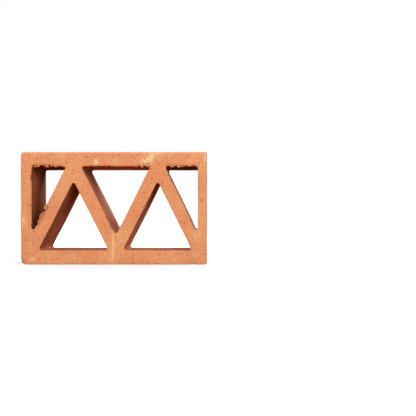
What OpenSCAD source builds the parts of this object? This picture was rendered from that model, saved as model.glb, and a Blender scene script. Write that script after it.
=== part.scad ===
// Terracotta breeze block with a zigzag web.
// The clay is pushed through a die that gives the section, cut to depth by a wire
// and fired as one piece. It stands on its lower bed face, as it is laid in a screen wall.
// X runs along the wall, Y through it from the front cut face to the back one, Z is up.
// The origin is the middle of the lower bed face.

/* [Block] */
// Length along the wall, end face to end face
block_length = 200; // [120:1:400]
// Height from bed face to bed face
block_height = 121; // [80:1:240]
// Depth through the wall, cut face to cut face
block_depth = 80; // [30:1:200]
// Radius of the four outer corners of the section
corner_radius = 2; // [0.5:0.5:10]

/* [Walls] */
// Thickness of each end wall
end_wall = 10; // [6:0.5:20]
// Thickness of the walls along the upper and lower beds
bed_wall = 15.5; // [8:0.5:25]

/* [Zigzag] */
// Thickness of each sloping web, square to its run
web_thickness = 14; // [6:0.5:25]
// Number of sloping webs from end to end
web_count = 4; // [2:1:8]
// Radius in the corners of the openings
opening_radius = 2; // [0.5:0.5:6]

/* [Hidden] */
$fn = 64;

// Terracotta orange of the cut faces
terracotta = [0.87, 0.56, 0.38];

// Clear rectangle inside the walls
clear_x = block_length / 2 - end_wall;
clear_bottom = bed_wall;
clear_top = block_height - bed_wall;
clear_height = clear_top - clear_bottom;

// The centre lines of the webs zigzag between bends on the lower and upper edges of that rectangle
web_pitch = 2 * clear_x / web_count;
web_run = norm([web_pitch, clear_height]);
// Half of a web's thickness, measured level
web_half = web_thickness / 2 * web_run / clear_height;
// Height of the solid corner inside each bend
bend_depth = web_half * clear_height / web_pitch;

// Place along the block of a bend, counted from the left end
function bend_x(bend) = -clear_x + bend * web_pitch;

// Corners of the opening that faces a bend, anticlockwise: a whole triangle, or half of one at an end wall.
// Even bends lie on the lower edge, so their openings hang from the upper one.
function opening_corners(bend) =
    let (
        left = max(-clear_x, bend_x(bend - 1) + web_half),
        right = min(clear_x, bend_x(bend + 1) - web_half),
        at_bottom = bend % 2 == 0
    )
    at_bottom
        ? [[bend_x(bend), clear_bottom + bend_depth], [right, clear_top], [left, clear_top]]
        : [[bend_x(bend), clear_top - bend_depth], [left, clear_bottom], [right, clear_bottom]];

function unit(v) = v / norm(v);

// Twice the area of a triangle over its girth: the largest circle that fits in it
function inner_radius(c) =
    abs(cross(c[1] - c[0], c[2] - c[0])) / (norm(c[1] - c[0]) + norm(c[2] - c[1]) + norm(c[0] - c[2]));

// A flat outline with every corner rounded: the core between the tangent points, and a disc in each corner
module rounded_outline(corners, radius) {
    last = len(corners) - 1;
    before = [for (i = [0 : last]) unit(corners[i == 0 ? last : i - 1] - corners[i])];
    after = [for (i = [0 : last]) unit(corners[i == last ? 0 : i + 1] - corners[i])];
    half_angle = [for (i = [0 : last]) acos(before[i] * after[i]) / 2];
    tangents = [
        for (i = [0 : last])
            for (side = [before[i], after[i]])
                corners[i] + side * radius / tan(half_angle[i])
    ];
    polygon(tangents);
    for (i = [0 : last])
        translate(corners[i] + unit(before[i] + after[i]) * radius / sin(half_angle[i]))
            circle(r = radius);
}

// Outline of the whole block, on its lower bed
module block_outline() {
    x = block_length / 2;
    rounded_outline([[-x, 0], [x, 0], [x, block_height], [-x, block_height]], corner_radius);
}

// One opening between two webs and a wall
module opening(bend) {
    corners = opening_corners(bend);
    rounded_outline(corners, min(opening_radius, inner_radius(corners) / 2));
}

// The section that the die gives
module section() {
    difference() {
        block_outline();
        for (bend = [0 : web_count]) opening(bend);
    }
}

// The section pushed through the die and cut to depth
module breeze_block() {
    color(terracotta)
        rotate([90, 0, 0])
            linear_extrude(height = block_depth, center = true) section();
}

breeze_block();
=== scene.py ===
import math
import bpy
import numpy as np
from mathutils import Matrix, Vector


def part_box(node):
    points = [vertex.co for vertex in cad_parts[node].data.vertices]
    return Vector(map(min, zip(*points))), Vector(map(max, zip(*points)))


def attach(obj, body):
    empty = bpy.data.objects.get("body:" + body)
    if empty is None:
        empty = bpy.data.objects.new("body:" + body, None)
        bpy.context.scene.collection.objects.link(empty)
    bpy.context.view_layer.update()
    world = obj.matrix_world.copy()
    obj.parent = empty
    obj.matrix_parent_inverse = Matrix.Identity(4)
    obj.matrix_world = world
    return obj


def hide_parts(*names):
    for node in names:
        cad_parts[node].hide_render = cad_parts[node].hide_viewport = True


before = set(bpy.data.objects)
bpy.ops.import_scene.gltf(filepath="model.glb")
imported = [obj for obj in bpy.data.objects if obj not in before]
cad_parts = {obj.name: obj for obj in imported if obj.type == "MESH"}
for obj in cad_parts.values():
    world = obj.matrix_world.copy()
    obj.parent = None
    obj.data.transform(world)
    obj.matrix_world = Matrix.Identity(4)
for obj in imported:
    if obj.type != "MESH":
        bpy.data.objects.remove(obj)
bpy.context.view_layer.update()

# View
# A level camera with a short telephoto lens looks square at the front cut face of the block.
# It stands to the right of the block, so the openings show the walls on their left side.
low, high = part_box("breeze_block")
block_length, block_depth, block_height = high - low
block_centre = (low + high) / 2
picture_side_px = 416
block_left_px, block_right_px, block_middle_px = 20.4, 207.1, 208.2
sight_x_px, sight_y_px = 205.5, 217.0
camera_distance = 0.86
metre_per_px = block_length / (block_right_px - block_left_px)
camera = bpy.data.objects.new("camera", bpy.data.cameras.new("camera"))
camera.data.lens = camera.data.sensor_width * camera_distance / (metre_per_px * picture_side_px)
camera.location = (
    block_centre.x + (sight_x_px - (block_left_px + block_right_px) / 2) * metre_per_px,
    low.y - camera_distance,
    block_centre.z - (sight_y_px - block_middle_px) * metre_per_px,
)
camera.rotation_euler = (math.radians(90), 0, 0)
camera.data.shift_x = 0.5 - sight_x_px / picture_side_px
camera.data.shift_y = sight_y_px / picture_side_px - 0.5
camera.data.clip_start = 0.01
bpy.context.scene.collection.objects.link(camera)
bpy.context.scene.camera = camera

# Block
# One piece of terracotta: clay pushed through a die that gives the section, cut to depth by a wire
# and fired. The wire tears the edges where it leaves the clay, and the die leaves lines along the walls.


def add(tree, kind, inputs=None, **settings):
    """A new node of a tree, with its settings, and with its inputs linked to a socket or set to a value."""
    node = tree.nodes.new(kind)
    for name, value in settings.items():
        setattr(node, name, value)
    for name, value in (inputs or {}).items():
        if isinstance(value, bpy.types.NodeSocket):
            tree.links.new(value, node.inputs[name])
        else:
            node.inputs[name].default_value = value
    return node


def math_node(tree, operation, *values):
    """The result of one step of arithmetic on sockets or numbers."""
    return add(tree, "ShaderNodeMath", dict(enumerate(values)), operation=operation).outputs[0]


def product(tree, *values):
    """Several numbers multiplied."""
    result = values[0]
    for value in values[1:]:
        result = math_node(tree, "MULTIPLY", result, value)
    return result


def vector_node(tree, operation, *values):
    """The result of one step of arithmetic on vectors."""
    return add(tree, "ShaderNodeVectorMath", dict(enumerate(values)), operation=operation).outputs["Vector"]


def xyz(tree, vector):
    """The three parts of a vector."""
    return add(tree, "ShaderNodeSeparateXYZ", {0: vector}).outputs


def vector_of(tree, x, y, z):
    """A vector from its three parts."""
    return add(tree, "ShaderNodeCombineXYZ", {0: x, 1: y, 2: z}).outputs[0]


def ramp_node(tree, value, start, end):
    """0 up to start and 1 from end, with a smooth passage between."""
    inputs = {"Value": value, "From Min": start, "From Max": end}
    return add(tree, "ShaderNodeMapRange", inputs, interpolation_type="SMOOTHSTEP").outputs[0]


def noise_node(tree, vector, scale, detail=2.0, seed=0.0):
    """Soft noise from 0 to 1 about 0.5, with a grain of 1 / scale metres."""
    inputs = {"Vector": vector, "W": seed, "Scale": scale, "Detail": detail}
    return add(tree, "ShaderNodeTexNoise", inputs, noise_dimensions="4D").outputs["Fac"]


def opposite(tree, choice):
    """True where a choice is false."""
    return add(tree, "FunctionNodeBooleanMath", {0: choice}, operation="NOT").outputs[0]


def position(tree):
    """The place of each point."""
    return add(tree, "GeometryNodeInputPosition").outputs[0]


def true_normal(tree):
    """The direction that each face looks in."""
    return add(tree, "GeometryNodeInputNormal").outputs["True Normal"]


def single_edges(tree):
    """True for an edge of only one face."""
    faces = add(tree, "GeometryNodeInputMeshEdgeNeighbors").outputs[0]
    return add(tree, "FunctionNodeCompare", {2: faces, 3: 1}, data_type="INT", operation="EQUAL").outputs[0]


def chosen_faces(tree, geometry, selection):
    """Some of the faces of a mesh, without the rest."""
    inputs = {"Geometry": geometry, "Selection": selection}
    return add(tree, "GeometryNodeSeparateGeometry", inputs, domain="FACE").outputs[0]


def moved(tree, geometry, **inputs):
    """Geometry with its points at a new position, or moved by an offset."""
    return add(tree, "GeometryNodeSetPosition", {"Geometry": geometry, **inputs}).outputs[0]


def merged(tree, geometry, gap=1e-5):
    """Geometry with its doubled points made one."""
    return add(tree, "GeometryNodeMergeByDistance", {"Geometry": geometry, "Distance": gap}).outputs[0]


def stored(tree, geometry, name, value, kind="FLOAT", domain="POINT"):
    """Geometry that carries a value under a name."""
    inputs = {"Geometry": geometry, "Name": name, "Value": value}
    return add(tree, "GeometryNodeStoreNamedAttribute", inputs, data_type=kind, domain=domain).outputs[0]


def mark(tree, name, kind="FLOAT"):
    """A value that the geometry carries under a name."""
    return add(tree, "GeometryNodeInputNamedAttribute", {"Name": name}, data_type=kind).outputs[0]


def geometry_tree(name, sizes):
    """An empty geometry tree with a mesh in and out and one named input for each size."""
    tree = bpy.data.node_groups.new(name, "GeometryNodeTree")
    tree.interface.new_socket("Geometry", in_out="INPUT", socket_type="NodeSocketGeometry")
    for size, value in sizes.items():
        kind = "NodeSocketInt" if isinstance(value, int) else "NodeSocketFloat"
        tree.interface.new_socket(size, in_out="INPUT", socket_type=kind)
    tree.interface.new_socket("Geometry", in_out="OUTPUT", socket_type="NodeSocketGeometry")
    return tree, add(tree, "NodeGroupInput").outputs


def finish_tree(tree, geometry, material):
    """Ends a tree in plain geometry with its material."""
    realized = add(tree, "GeometryNodeRealizeInstances", {"Geometry": geometry})
    inputs = {"Geometry": realized.outputs[0], "Material": material}
    add(tree, "NodeGroupOutput", {"Geometry": add(tree, "GeometryNodeSetMaterial", inputs).outputs[0]})


def grown(name, mesh, tree, sizes):
    """The plain mesh that a tree makes of a mesh."""
    seed = bpy.data.objects.new(name, mesh)
    bpy.context.scene.collection.objects.link(seed)
    modifier = seed.modifiers.new(tree.name, "NODES")
    modifier.node_group = tree
    for size, value in sizes.items():
        modifier[tree.interface.items_tree[size].identifier] = value
    evaluated = seed.evaluated_get(bpy.context.evaluated_depsgraph_get())
    made = bpy.data.meshes.new_from_object(evaluated)
    bpy.data.objects.remove(seed)
    return made


terracotta = bpy.data.materials.new("terracotta")
terracotta.use_nodes = True

# The die: the section is taken from the front cut face of the solid
die_sizes = {"Cell Width": 0.00085, "Cell Height": 0.00105, "Rings": 17}
die, given = geometry_tree("clay through the die", die_sizes)
solid = merged(die, given["Geometry"])
facing_front = -0.9
is_front = math_node(die, "LESS_THAN", xyz(die, true_normal(die))["Y"], facing_front)
section = chosen_faces(die, solid, is_front)
open_inputs = {0: single_edges(die)}
open_edge = add(die, "GeometryNodeFieldOnDomain", open_inputs, data_type="BOOLEAN", domain="EDGE").outputs[0]
outline_curve = add(die, "GeometryNodeMeshToCurve", {"Mesh": section, "Selection": open_edge}).outputs[0]
outline = add(die, "GeometryNodeCurveToMesh", {"Curve": outline_curve}).outputs[0]
box = add(die, "GeometryNodeBoundBox", {"Geometry": solid}).outputs
size = xyz(die, vector_node(die, "SUBTRACT", box["Max"], box["Min"]))
both_ends = vector_node(die, "ADD", box["Max"], box["Min"])
middle = xyz(die, vector_node(die, "MULTIPLY", both_ends, (0.5, 0.5, 0.5)))

# The front cut face is a grid of cells, trimmed to the section and drawn to its outline
columns = math_node(die, "ROUND", math_node(die, "DIVIDE", size["X"], given["Cell Width"]))
rows = math_node(die, "ROUND", math_node(die, "DIVIDE", size["Z"], given["Cell Height"]))
cells = add(die, "GeometryNodeMeshGrid", {
    "Size X": size["X"],
    "Size Y": size["Z"],
    "Vertices X": math_node(die, "ADD", columns, 1),
    "Vertices Y": math_node(die, "ADD", rows, 1),
}).outputs[0]
upright = add(die, "GeometryNodeTransform", {
    "Geometry": cells,
    "Translation": vector_of(die, middle["X"], xyz(die, box["Min"])["Y"], middle["Z"]),
    "Rotation": (math.radians(90), 0, 0),
}).outputs[0]
place = position(die)
probe = 0.001
on_clay = add(die, "GeometryNodeRaycast", {
    "Target Geometry": section,
    "Source Position": vector_node(die, "SUBTRACT", place, (0, probe, 0)),
    "Ray Direction": (0, 1, 0),
    "Ray Length": 2 * probe,
}).outputs["Is Hit"]
waste = {"Geometry": upright, "Selection": opposite(die, on_clay)}
trimmed = add(die, "GeometryNodeDeleteGeometry", waste, domain="FACE").outputs[0]
to_outline = add(die, "GeometryNodeProximity", {"Geometry": outline}, target_element="EDGES")
drawn = moved(die, trimmed, Selection=open_edge, Position=to_outline.outputs["Position"])
blur_inputs = {"Value": place, "Iterations": 4}
evened = add(die, "GeometryNodeBlurAttribute", blur_inputs, data_type="FLOAT_VECTOR").outputs[0]
cut_face = moved(die, drawn, Selection=opposite(die, open_edge), Position=evened)

# The walls follow its edges to the back face in rings
ring_in = add(die, "GeometryNodeRepeatInput", {"Iterations": given["Rings"]})
ring_out = add(die, "GeometryNodeRepeatOutput")
ring_in.pair_with_output(ring_out)
leading_edge = stored(die, cut_face, "leading", open_edge, "BOOLEAN", "EDGE")
die.links.new(leading_edge, ring_in.inputs["Geometry"])
pushed = add(die, "GeometryNodeExtrudeMesh", {
    "Mesh": ring_in.outputs["Geometry"],
    "Selection": mark(die, "leading", "BOOLEAN"),
    "Offset": vector_of(die, 0, math_node(die, "DIVIDE", size["Y"], given["Rings"]), 0),
    "Offset Scale": 1,
}, mode="EDGES").outputs
next_edge = stored(die, pushed["Mesh"], "leading", pushed["Top"], "BOOLEAN", "EDGE")
die.links.new(next_edge, ring_out.inputs["Geometry"])
back_inputs = {"Geometry": cut_face, "Translation": vector_of(die, 0, size["Y"], 0)}
back_face = add(die, "GeometryNodeTransform", back_inputs).outputs[0]
back_turned = add(die, "GeometryNodeFlipFaces", {"Mesh": back_face}).outputs[0]
joined = add(die, "GeometryNodeJoinGeometry")
die.links.new(ring_out.outputs["Geometry"], joined.inputs[0])
die.links.new(back_turned, joined.inputs[0])
closed = merged(die, joined.outputs[0])
# Rings lie closer towards the cut faces, where the edges are torn
part = xyz(die, place)
from_middle = math_node(die, "DIVIDE", math_node(die, "SUBTRACT", part["Y"], middle["Y"]), size["Y"])
eased = product(die, math_node(die, "SINE", math_node(die, "MULTIPLY", from_middle, math.pi)), 0.5)
spaced_y = math_node(die, "MULTIPLY_ADD", eased, size["Y"], middle["Y"])
spaced = moved(die, closed, Position=vector_of(die, part["X"], spaced_y, part["Z"]))
finish_tree(die, spaced, terracotta)
blank = grown("blank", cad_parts["breeze_block"].data.copy(), die, die_sizes)

# Where the front face is torn by the wire, worn at its corners and bleached by salts, and where painted shade
# darkens the inner walls, all in millimetres. Torn and worn places: x, z, reach, and strength or loss.
mm = 0.001
torn_places = [
    (-84, 105, 7, 1.0), (-78.5, 104, 3, 1.6), (-73, 105, 7, 1.0), (-65, 105, 7, 0.8),
    (-57, 105, 6, 0.45), (-88.6, 90, 12, 0.5), (-88.6, 66, 14, 0.55), (-88.6, 48, 8, 0.6),
    (-74.6, 62, 3, 1.7), (-78, 54, 7, 1.2), (-82, 46, 6, 1.05), (-27, 105, 2.5, 0.7),
    (-7.5, 105, 2.5, 0.9), (-29.8, 97.5, 3, 1.4), (-27, 89, 6, 0.6), (20, 105, 5, 0.6),
    (28, 105, 6, 0.9), (35, 105, 5, 0.8), (59, 105.5, 6, 0.75), (68, 105.5, 7, 0.75),
    (78, 105.5, 7, 0.75), (86, 105.5, 5, 0.75), (59.5, 97, 3, 1.4), (61.5, 91, 5, 0.6),
    (30.7, 61, 3, 1.0), (-55, 15.5, 9, 0.45), (-42, 15.5, 9, 0.55), (-28, 15.5, 9, 0.4),
    (-12, 15.5, 3, 0.8), (23, 15.5, 8, 0.3), (40, 15.5, 7, 0.4), (53, 15.5, 7, 0.4),
    (78, 15, 4, 0.7), (-3.5, 41, 5, 0.8), (-8.5, 50, 5, 0.5), (7, 40, 4, 0.7),
    (12, 46, 4, 0.7), (90, 47, 3, 0.35), (90.5, 89.5, 2, 0.7),
]
worn_places = [(-100, 0, 7.5, 1.8), (-100, 121, 4, 0.5), (84, 0, 7, 0.8)]
# Bleached places, and places of painted shade deep in the openings: x, z, reach along and across, turn in
# degrees, and strength
bleached_places = [
    (38, 114, 10.5, 4.6, 34, 1.0), (32, 111, 5, 4, 0, 0.9), (48, 119, 7, 1.5, 0, 0.7),
    (-20.5, 110.5, 2.6, 3.2, 0, 1.0), (0, 110.5, 2.2, 2.8, 0, 0.8), (98.2, 113.5, 1.3, 5.0, 0, 1.0),
    (-2.9, 18, 1.3, 17, 0, 1.0), (2.4, 31, 1.8, 5, 10, 0.5), (-97.4, 47, 1.6, 5, 0, 1.0),
    (-88.5, 6, 3.5, 1.5, 10, 0.7), (87, 31, 1.3, 5, 5, 0.6), (91.5, 33, 1.2, 3, 10, 0.5),
    (-38, 118, 6, 0.8, -35, 0.6), (-58, 117, 5, 2, 0, 0.4), (64.5, 5, 0.9, 4, 15, 0.5),
    (22, 6, 1.0, 3.5, 10, 0.4), (-70, 9, 2.5, 1.2, 20, 0.4), (80, 112, 3, 1.8, 0, 0.4),
    (-55, 43, 2, 5, 25, 0.35), (88, 10, 4, 2, 0, 0.4),
]
# Painted shade on the inner walls: low by the left tip, under the top ledge at the right, and by the middle
# web
painted_shade_places = [(-89, 44, 6, 19, 0, 1.0), (74, 105.5, 20, 3, 0, 1.0), (-5, 46, 7, 11, 0, 0.5)]
points = np.empty(len(blank.vertices) * 3, np.float32)
blank.vertices.foreach_get("co", points)
x, y, z = points.reshape(-1, 3).T / mm


def nearness(place_x, place_z, reach):
    """1 at a place on the front face and 0 from the reach on, for all points of the mesh."""
    return np.clip(1 - np.hypot(x - place_x, z - place_z) / reach, 0, 1)


def ovals(places):
    """Soft oval patches, the strongest of them for all points of the mesh."""
    strongest = np.zeros_like(x)
    for place_x, place_z, reach_along, reach_across, turn, strength in places:
        cosine, sine = math.cos(math.radians(turn)), math.sin(math.radians(turn))
        along = (x - place_x) * cosine + (z - place_z) * sine
        across = (z - place_z) * cosine - (x - place_x) * sine
        spread = np.exp(-((along / reach_along) ** 2 + (across / reach_across) ** 2))
        strongest = np.maximum(strongest, strength * spread)
    return strongest


torn = np.zeros_like(x)
for place_x, place_z, reach, strength in torn_places:
    torn = np.maximum(torn, strength * np.sqrt(nearness(place_x, place_z, reach)))
worn = np.zeros_like(x)
for place_x, place_z, reach, loss in worn_places:
    worn = np.maximum(worn, loss * mm * nearness(place_x, place_z, reach))
# The marks of the front face fade out behind it
half_depth, fade_depth = block_depth / mm / 2, 28
at_front = np.clip(1 - (y + half_depth) / fade_depth, 0, 1)
marks = {
    "torn": torn * at_front,
    "worn": worn * at_front,
    "bleached": ovals(bleached_places) * at_front,
    "painted_shade": ovals(painted_shade_places),
}
for name, values in marks.items():
    carried = blank.attributes.new(name, "FLOAT", "POINT")
    carried.data.foreach_set("value", values.astype(np.float32))

# The wire and the kiln move the points of the blank by a little
kiln_sizes = {
    "Half Depth": block_depth / 2, "Half Length": block_length / 2, "Height": block_height,
    "Core Shift": 0.0012, "Core Bow": 0.0009, "Left Wall": 0.0007, "Tear": 0.0011,
    "Edge Wear": 0.0002, "Bow": 0.0004, "Die Line": 0.00012, "Wire Drag": 0.0002, "Seed": 3,
}
kiln, given = geometry_tree("wire and kiln", kiln_sizes)
place = position(kiln)
part = xyz(kiln, place)
facing_cut = 0.5
turned_to_cut = math_node(kiln, "ABSOLUTE", xyz(kiln, true_normal(kiln))["Y"])
sideways = math_node(kiln, "LESS_THAN", turned_to_cut, facing_cut)
walls = chosen_faces(kiln, given["Geometry"], sideways)
to_wall = add(kiln, "GeometryNodeProximity", {"Geometry": walls}, target_element="FACES")
wall_gap = to_wall.outputs["Distance"]
depth_in = math_node(kiln, "SUBTRACT", given["Half Depth"], math_node(kiln, "ABSOLUTE", part["Y"]))
gaps_squared = math_node(kiln, "ADD", product(kiln, depth_in, depth_in), product(kiln, wall_gap, wall_gap))
rim_gap = math_node(kiln, "SQRT", gaps_squared)
wall_inputs = {"Mesh": walls, "Value": true_normal(kiln)}
off_wall = add(kiln, "GeometryNodeSampleNearestSurface", wall_inputs, data_type="FLOAT_VECTOR").outputs[0]
off_face = vector_of(kiln, 0, math_node(kiln, "SIGN", part["Y"]), 0)


def near(gap, reach, power=2.0):
    """1 at no gap and 0 from the reach on."""
    left = math_node(kiln, "SUBTRACT", 1, math_node(kiln, "DIVIDE", gap, reach))
    return math_node(kiln, "POWER", math_node(kiln, "MAXIMUM", left, 0), power)


def grain(scale, stretch=(1, 1, 1), detail=2.0, shift=0.0):
    """Noise at a point, drawn out along the axes by dividing by the stretch."""
    spread = vector_node(kiln, "DIVIDE", place, stretch)
    return noise_node(kiln, spread, scale, detail, math_node(kiln, "ADD", given["Seed"], shift))


# How far a point is from the ends and beds, and whether it lies on a cut face or on a wall
from_end = math_node(kiln, "SUBTRACT", given["Half Length"], math_node(kiln, "ABSOLUTE", part["X"]))
from_bed = math_node(kiln, "MINIMUM", part["Z"], math_node(kiln, "SUBTRACT", given["Height"], part["Z"]))
skin_depth, core_depth = 0.002, 0.008
inside = ramp_node(kiln, math_node(kiln, "MINIMUM", from_end, from_bed), skin_depth, core_depth)
outside = math_node(kiln, "SUBTRACT", 1, inside)
cut_thickness = 0.0004
on_cut = near(depth_in, cut_thickness, 1.0)
on_wall = math_node(kiln, "SUBTRACT", 1, on_cut)

# Along an edge the noise reads the same on the wall and on the cut face, and not the same on the two faces
along_edge = vector_of(kiln, part["X"], math_node(kiln, "SIGN", part["Y"]), part["Z"])
teeth = ramp_node(kiln, noise_node(kiln, along_edge, 400, 2.0, given["Seed"]), 0.45, 0.6)
patches = ramp_node(kiln, noise_node(kiln, along_edge, 60, 2.0, given["Seed"]), 0.5, 0.72)
front_share = ramp_node(kiln, part["Y"], 0.02, -0.02)
torn_now = math_node(kiln, "MAXIMUM", mark(kiln, "torn"), product(kiln, patches, front_share, 0.2))

tear_reach, wear_reach, worn_reach, face_reach = 0.004, 0.0018, 0.006, 0.008
tear = product(kiln, given["Tear"], torn_now, teeth, near(rim_gap, tear_reach), inside)
rim_noise = math_node(kiln, "ADD", 0.3, grain(140, shift=1))
rim_loss = math_node(kiln, "MULTIPLY_ADD", outside, 2, 1)
wear = product(kiln, given["Edge Wear"], rim_noise, rim_loss, near(rim_gap, wear_reach, 1.5))
drag = product(kiln, given["Wire Drag"], grain(420, (1, 1, 6), 3.0, 2), on_cut)
wire_bow = product(kiln, given["Bow"], grain(14, shift=3), on_cut)
die_line = product(kiln, given["Die Line"], grain(420, (1, 40, 1), 2.0, 4), on_wall)
dent = product(kiln, given["Bow"], ramp_node(kiln, grain(40, (1, 3, 1), shift=5), 0.5, 0.75), outside)

inwards = math_node(kiln, "SUBTRACT", 0, tear)
for loss in (wear, mark(kiln, "worn"), die_line, dent):
    inwards = math_node(kiln, "SUBTRACT", inwards, loss)
sideward = vector_node(kiln, "MULTIPLY", off_wall, vector_of(kiln, inwards, inwards, inwards))
backwards = math_node(kiln, "SUBTRACT", 0, product(kiln, tear, 0.7))
for loss in (wear, drag, wire_bow, product(kiln, mark(kiln, "worn"), near(depth_in, worn_reach))):
    backwards = math_node(kiln, "SUBTRACT", backwards, loss)
back_part = vector_of(kiln, 0, product(kiln, backwards, near(depth_in, face_reach)), 0)
faceward = vector_node(kiln, "MULTIPLY", off_face, back_part)

# The core of the die sits a little off the middle and thickens the left end wall, but not the right one
right_wall_x, right_core_x = 0.09, 0.078
left_wall_x, left_core_x = -0.089, -0.084
bow_half_length = 0.075
from_right = ramp_node(kiln, part["X"], right_wall_x, right_core_x)
along_bow = near(math_node(kiln, "ABSOLUTE", part["X"]), bow_half_length, 0.5)
at_left_wall = ramp_node(kiln, part["X"], left_core_x, left_wall_x)
core_moved = given["Core Shift"]
for extra in (product(kiln, given["Core Bow"], along_bow), product(kiln, given["Left Wall"], at_left_wall)):
    core_moved = math_node(kiln, "ADD", core_moved, extra)
core_shift = product(kiln, core_moved, inside, from_right)


def slow_bow(shift):
    """A slow wander of the webs, to either side."""
    wander = math_node(kiln, "SUBTRACT", grain(28, (1, 4, 1), shift=shift), 0.5)
    return product(kiln, given["Bow"], 2, wander, inside)


bowed = vector_of(kiln, math_node(kiln, "ADD", slow_bow(6), core_shift), 0, slow_bow(7))
offset = vector_node(kiln, "ADD", vector_node(kiln, "ADD", sideward, faceward), bowed)

stain_reach, lip_and_highlight_reach = 0.006, 0.0024
shaped = given["Geometry"]
shaped = stored(kiln, shaped, "torn", product(kiln, torn_now, inside, near(rim_gap, stain_reach, 1.0)))
shaped = stored(kiln, shaped, "cut", on_cut)
# A lighter band along the beds of the cut faces: partly a lip of paler clay, partly a painted highlight of
# the rounded bed edge
shaped = stored(kiln, shaped, "lip_and_highlight", product(kiln, near(from_bed, lip_and_highlight_reach, 1.0), on_cut))
shaped = stored(kiln, shaped, "outer", outside)
shaped = stored(kiln, shaped, "outward", off_wall, "FLOAT_VECTOR")
shaped = stored(kiln, shaped, "wall", sideways, "BOOLEAN", "FACE")
finish_tree(kiln, moved(kiln, shaped, Offset=offset), terracotta)
pressed = grown("pressed", blank, kiln, kiln_sizes)

# Along the torn edges the wire bites lumps of clay out and leaves crumbs hanging, and it opens pits in a face
tear_sizes = {
    "Step": 0.0008, "Bite": 0.0016, "Crumb": 0.0015, "Pit": 0.0007, "Pits": 4000.0,
    "Bite Share": 0.3, "Crumb Share": 0.55, "Seed": 5,
}
tearing, given = geometry_tree("torn by the wire", tear_sizes)


def chance(low, high, seed):
    """A random number for each point."""
    shifted = math_node(tearing, "ADD", given["Seed"], seed)
    inputs = {2: low, 3: high, 8: shifted}
    return add(tearing, "FunctionNodeRandomValue", inputs, data_type="FLOAT").outputs[1]


def lumps(marks):
    """Four rough lumps of clay with a radius of about 1, as instances to pick from."""
    roughness = 2.4
    picked = add(tearing, "GeometryNodeJoinGeometry")
    for kind in range(4):
        ball = add(tearing, "GeometryNodeMeshIcoSphere", {"Radius": 1.0, "Subdivisions": 1}).outputs[0]
        point = position(tearing)
        swell = math_node(tearing, "SUBTRACT", noise_node(tearing, point, 1.6, 2.0, 7.0 * kind), 0.5)
        swollen = vector_node(tearing, "MULTIPLY", point, vector_of(tearing, swell, swell, swell))
        lump = moved(tearing, ball, Offset=vector_node(tearing, "MULTIPLY", swollen, (roughness,) * 3))
        for name, value in marks.items():
            lump = stored(tearing, lump, name, value)
        instance = add(tearing, "GeometryNodeGeometryToInstance", {0: lump}).outputs[0]
        tearing.links.new(instance, picked.inputs[0])
    return picked.outputs[0]


def scattered(points, selection, kinds, scale, seed):
    """One lump on each chosen point, turned at random in the plane of the cut face."""
    index = add(tearing, "FunctionNodeRandomValue", {4: 0, 5: 3, 8: seed}, data_type="INT").outputs[2]
    return add(tearing, "GeometryNodeInstanceOnPoints", {
        "Points": points, "Selection": selection, "Instance": kinds, "Pick Instance": True,
        "Instance Index": index, "Rotation": face_turn, "Scale": scale,
    }).outputs[0]


is_wall = mark(tearing, "wall", "BOOLEAN")
walls = chosen_faces(tearing, given["Geometry"], is_wall)
rims = add(tearing, "GeometryNodeMeshToCurve", {"Mesh": walls, "Selection": single_edges(tearing)}).outputs[0]
rim_inputs = {"Curve": rims, "Length": given["Step"]}
rim_points = add(tearing, "GeometryNodeCurveToPoints", rim_inputs, mode="LENGTH").outputs[0]
tornness = mark(tearing, "torn")
size_here = math_node(tearing, "MULTIPLY_ADD", tornness, 0.8, 0.2)
face_turn = vector_of(tearing, 0, chance(0, 2 * math.pi, 4), 0)

torn_marks = {"torn": 1.0, "cut": 0.0, "raw": 1.0}
bite_size = product(tearing, given["Bite"], size_here, chance(0.4, 1.0, 5))
bite_width = product(tearing, bite_size, chance(0.7, 1.4, 6))
bite_scale = vector_of(tearing, bite_width, product(tearing, bite_size, 3.5), bite_size)
bitten = math_node(tearing, "LESS_THAN", chance(0, 1, 9), product(tearing, tornness, given["Bite Share"]))
bites = scattered(rim_points, bitten, lumps(torn_marks), bite_scale, 10)

pit_points = add(tearing, "GeometryNodeDistributePointsOnFaces", {
    "Mesh": given["Geometry"], "Selection": opposite(tearing, is_wall),
    "Density": given["Pits"], "Seed": given["Seed"],
}).outputs[0]
pit_size = product(tearing, given["Pit"], chance(0.3, 1.0, 11))
pit_scale = vector_of(tearing, pit_size, product(tearing, pit_size, 0.5), pit_size)
pits = scattered(pit_points, True, lumps(torn_marks), pit_scale, 12)
cut_inputs = {0: given["Geometry"]}
bitten_block = add(tearing, "GeometryNodeMeshBoolean", cut_inputs, operation="DIFFERENCE", solver="MANIFOLD")
tearing.links.new(bites, bitten_block.inputs[1])
tearing.links.new(pits, bitten_block.inputs[1])

# Crumbs are flat, hang over the edge and lie sunk behind the face
crumb_marks = {"torn": 0.3, "cut": 0.9, "raw": 0.0}
crumb_size = product(tearing, given["Crumb"], size_here, chance(0.35, 1.0, 13))
crumb_width = product(tearing, crumb_size, chance(0.7, 1.4, 14))
crumb_flat = product(tearing, crumb_size, 0.5)
crumb_scale = vector_of(tearing, crumb_width, crumb_flat, crumb_size)
to_face = math_node(tearing, "SIGN", xyz(tearing, position(tearing))["Y"])
over_edge = product(tearing, crumb_size, 0.4)
outward = mark(tearing, "outward", "FLOAT_VECTOR")
hang = vector_node(tearing, "MULTIPLY", outward, vector_of(tearing, over_edge, over_edge, over_edge))
sink = vector_of(tearing, 0, product(tearing, crumb_flat, to_face, -0.8), 0)
crumb_points = moved(tearing, rim_points, Offset=vector_node(tearing, "ADD", hang, sink))
crumb_share = product(tearing, tornness, given["Crumb Share"])
crumbled = math_node(tearing, "LESS_THAN", chance(0, 1, 15), crumb_share)
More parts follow.
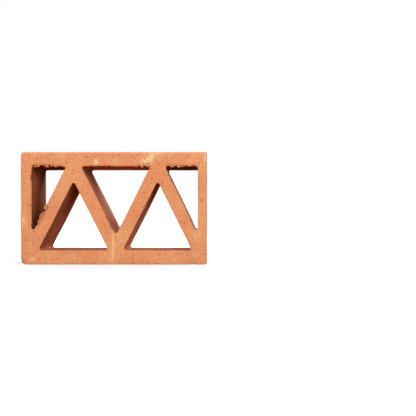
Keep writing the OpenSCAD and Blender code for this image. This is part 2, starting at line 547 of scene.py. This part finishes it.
crumbs = scattered(crumb_points, crumbled, lumps(crumb_marks), crumb_scale, 16)
crumbed_block = add(tearing, "GeometryNodeMeshBoolean", operation="UNION", solver="MANIFOLD")
tearing.links.new(bitten_block.outputs[0], crumbed_block.inputs[1])
tearing.links.new(crumbs, crumbed_block.inputs[1])
crumbed = crumbed_block.outputs[0]

# Crumbs that a bite has cut loose fall off
island = add(tearing, "GeometryNodeInputMeshIsland").outputs["Island Index"]
island_size = add(tearing, "GeometryNodeAccumulateField", {0: 1.0, "Group ID": island}).outputs["Total"]
size_inputs = {"Geometry": crumbed, "Attribute": island_size}
largest = add(tearing, "GeometryNodeAttributeStatistic", size_inputs).outputs["Max"]
loose = {"Geometry": crumbed, "Selection": math_node(tearing, "LESS_THAN", island_size, largest)}
whole = add(tearing, "GeometryNodeDeleteGeometry", loose).outputs[0]
for name in ("outward", "wall", "leading"):
    whole = add(tearing, "GeometryNodeRemoveAttribute", {"Geometry": whole, "Name": name}).outputs[0]
smooth = add(tearing, "GeometryNodeSetShadeSmooth", {"Geometry": whole}).outputs[0]
edge_angle = add(tearing, "GeometryNodeInputMeshEdgeAngle").outputs["Unsigned Angle"]
crease_angle = math.radians(40)
crisp = add(tearing, "GeometryNodeSetShadeSmooth", {
    "Geometry": smooth,
    "Selection": math_node(tearing, "GREATER_THAN", edge_angle, crease_angle),
    "Shade Smooth": False,
}, domain="EDGE").outputs[0]
finish_tree(tearing, crisp, terracotta)
fired = grown("fired", pressed, tearing, tear_sizes)
block = bpy.data.objects.new("fired_block", fired)
bpy.context.scene.collection.objects.link(block)

# The colour of the fired clay, with stains, a painted highlight and painted shade laid over it one by one
shader = terracotta.node_tree
clay = shader.nodes["Principled BSDF"]
place = add(shader, "ShaderNodeTexCoord").outputs["Object"]
stir = add(shader, "ShaderNodeTexNoise", {"Vector": place, "Scale": 700.0, "Detail": 2.0}).outputs["Color"]
stir_reach = 0.0014
stirred = vector_node(shader, "MULTIPLY_ADD", stir, (stir_reach,) * 3, place)


def seen(red, green, blue):
    """A colour as it is seen, 0 to 255, in the linear values that a shader takes."""
    return (*[(value / 255 / 12.92 if value < 11 else ((value / 255 + 0.055) / 1.055) ** 2.4)
              for value in (red, green, blue)], 1)


def mixed(factor, first, second):
    """One colour passing into another."""
    return add(shader, "ShaderNodeMix", {0: factor, 6: first, 7: second}, data_type="RGBA").outputs[2]


def tinted(tone, amount, strength, colour):
    """A tone that passes into a colour where the amount is 1, up to a strength."""
    return mixed(math_node(shader, "MULTIPLY", amount, strength), tone, seen(*colour))


def painted(name):
    """A number that the mesh carries at its points."""
    return add(shader, "ShaderNodeAttribute", attribute_name=name).outputs["Fac"]


def cloud(vector, scale, detail, start, end, seed=0.0):
    """Soft patches, as 0 to 1."""
    return ramp_node(shader, noise_node(shader, vector, scale, detail, seed), start, end)


def spots(scale, rarity, smallest, spread):
    """Ragged spots in some of the cells of a random pattern, as 0 to 1, with radii as shares of a cell."""
    spot = add(shader, "ShaderNodeTexVoronoi", {"Vector": stirred, "Scale": scale}).outputs
    picked = math_node(shader, "GREATER_THAN", xyz(shader, spot["Color"])["X"], rarity)
    reach = math_node(shader, "MULTIPLY_ADD", xyz(shader, spot["Color"])["Y"], spread, smallest)
    shape = ramp_node(shader, math_node(shader, "DIVIDE", spot["Distance"], reach), 1.0, 0.6)
    return math_node(shader, "MULTIPLY", shape, picked)


mottle = cloud(place, 26, 3.0, 0.35, 0.65)
face_tone = mixed(mottle, seen(226, 139, 92), seen(232, 156, 104))
# Inside the openings the clay is darker towards the left end
dark_x, pale_x = -0.105, 0.0
to_middle = ramp_node(shader, xyz(shader, place)["X"], dark_x, pale_x)
paler = math_node(shader, "MAXIMUM", to_middle, painted("outer"))
inner_tone = mixed(paler, seen(161, 89, 53), seen(206, 137, 100))
wall_tone = tinted(inner_tone, mottle, 0.25, (206, 126, 82))
tone = mixed(painted("cut"), wall_tone, face_tone)

# Pale grains show mainly where the wire has cut them, and specks crowd where it has torn the clay
speckle = noise_node(shader, stirred, 850, 3.0)
pale_share = math_node(shader, "MULTIPLY_ADD", painted("cut"), 0.8, 0.2)
pale_grains = product(shader, ramp_node(shader, speckle, 0.48, 0.28), pale_share)
pale_flecks = product(shader, spots(230, 0.6, 0.1, 0.2), pale_share)
salts = product(shader, painted("bleached"), cloud(place, 180, 4.0, 0.2, 0.55))
torn_share = math_node(shader, "MINIMUM", painted("torn"), 1.0)
torn_clay = product(shader, torn_share, cloud(place, 420, 3.0, 0.4, 0.6))
least_worn, most_worn = 0.0003, 0.0014
speck_rarity = math_node(shader, "MULTIPLY_ADD", torn_share, -0.45, 0.5)
# Painted shade: the inner walls darkened deep in the openings, not the cut faces
wall_shade_paint = product(shader, painted("painted_shade"), math_node(shader, "SUBTRACT", 1, painted("cut")))
stains = [
    (cloud(place, 48, 2.0, 0.5, 0.7, 4.0), 0.5, (220, 142, 104)),
    (ramp_node(shader, speckle, 0.5, 0.75), 0.7, (204, 96, 60)),
    (pale_grains, 0.65, (236, 188, 144)),
    # lighter bed edges, partly a painted highlight of the rounded edge
    (painted("lip_and_highlight"), 0.55, (246, 178, 138)),
    (salts, 0.85, (246, 202, 148)),
    (torn_clay, 0.75, (180, 84, 56)),
    (ramp_node(shader, painted("worn"), least_worn, most_worn), 0.6, (170, 92, 62)),
    (painted("raw"), 0.8, (196, 82, 56)),
    (spots(120, 0.4, 0.05, 0.10), 0.85, (190, 78, 56)),
    (spots(260, speck_rarity, 0.09, 0.18), 0.85, (182, 74, 52)),
    (spots(420, 0.6, 0.08, 0.18), 0.8, (178, 84, 60)),
    (pale_flecks, 0.55, (238, 196, 152)),
    # painted shade deep in the openings
    (wall_shade_paint, 0.6, (72, 25, 8)),
]
for amount, strength, colour in stains:
    tone = tinted(tone, amount, strength, colour)
shader.links.new(tone, clay.inputs["Base Color"])
clay.inputs["Specular IOR Level"].default_value = 0.2
shader.links.new(math_node(shader, "MULTIPLY_ADD", speckle, 0.2, 0.76), clay.inputs["Roughness"])
relief = math_node(shader, "MULTIPLY_ADD", noise_node(shader, place, 1400, 4.0), 0.6, speckle)
bump = add(shader, "ShaderNodeBump", {"Strength": 0.7, "Distance": 0.0005, "Height": relief})
shader.links.new(bump.outputs[0], clay.inputs["Normal"])

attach(block, "root")
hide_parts("breeze_block")

# Studio
# A wide sheet of pale paper under the block, lit to plain white away from it, in white surroundings.
# Soft lights stand at the front on both sides and above, and two more behind.
floor_half = 6.0
floor_corners = [(x * floor_half, y * floor_half, 0) for x, y in ((-1, -1), (1, -1), (1, 1), (-1, 1))]
floor_mesh = bpy.data.meshes.new("paper_floor")
floor_mesh.from_pydata(floor_corners, [], [(0, 1, 2, 3)])
floor = bpy.data.objects.new("paper_floor", floor_mesh)
bpy.context.scene.collection.objects.link(floor)
pale_paper = bpy.data.materials.new("pale_paper")
pale_paper.use_nodes = True
sheet = pale_paper.node_tree
paper = sheet.nodes["Principled BSDF"]
paper.inputs["Base Color"].default_value = (0.9, 0.9, 0.9, 1)
paper.inputs["Roughness"].default_value = 0.9
paper.inputs["Emission Color"].default_value = (1, 1, 1, 1)
floor_place = add(sheet, "ShaderNodeTexCoord").outputs["Object"]
from_block = add(sheet, "ShaderNodeVectorMath", {0: floor_place}, operation="LENGTH").outputs["Value"]
glow_start, glow_end = 0.1, 0.6
dim_glow, full_glow = 0.35, 1.0
far_share = ramp_node(sheet, from_block, glow_start, glow_end)
glow = math_node(sheet, "MULTIPLY_ADD", far_share, full_glow - dim_glow, dim_glow)
sheet.links.new(glow, paper.inputs["Emission Strength"])
floor_mesh.materials.append(pale_paper)
floor.visible_diffuse = False
floor.visible_glossy = False

light_side = 0.9
soft_lights = {
    "left_light": ((-0.7, -1.33, 0.6), 14.2),
    "right_light": ((0.72, -1.36, 0.46), 14.4),
    "top_light": ((0.45, -0.75, 1.4), 7),
    "back_right_light": ((0.75, 0.95, 1.15), 17),
    "back_left_light": ((-0.89, 1.06, 0.86), 10),
}
for name, (stand, power) in soft_lights.items():
    lamp = bpy.data.lights.new(name, "AREA")
    lamp.size = light_side
    lamp.energy = power
    light = bpy.data.objects.new(name, lamp)
    light.location = stand
    light.rotation_mode = "QUATERNION"
    light.rotation_quaternion = (Vector(block_centre) - Vector(stand)).to_track_quat("-Z", "Y")
    bpy.context.scene.collection.objects.link(light)

# The surroundings are white to the camera and give only a weak light from above
world = bpy.data.worlds.new("studio")
world.use_nodes = True
sky = world.node_tree
upward = xyz(sky, add(sky, "ShaderNodeTexCoord").outputs["Generated"])["Z"]
sky_strength = 0.06
glimmer = math_node(sky, "MULTIPLY", ramp_node(sky, upward, -0.1, 0.6), sky_strength)
to_camera = add(sky, "ShaderNodeLightPath").outputs["Is Camera Ray"]
sky.links.new(math_node(sky, "MAXIMUM", glimmer, to_camera), sky.nodes["Background"].inputs["Strength"])
sky.nodes["Background"].inputs["Color"].default_value = (1, 1, 1, 1)
bpy.context.scene.world = world
bpy.context.scene.view_settings.view_transform = "Standard"
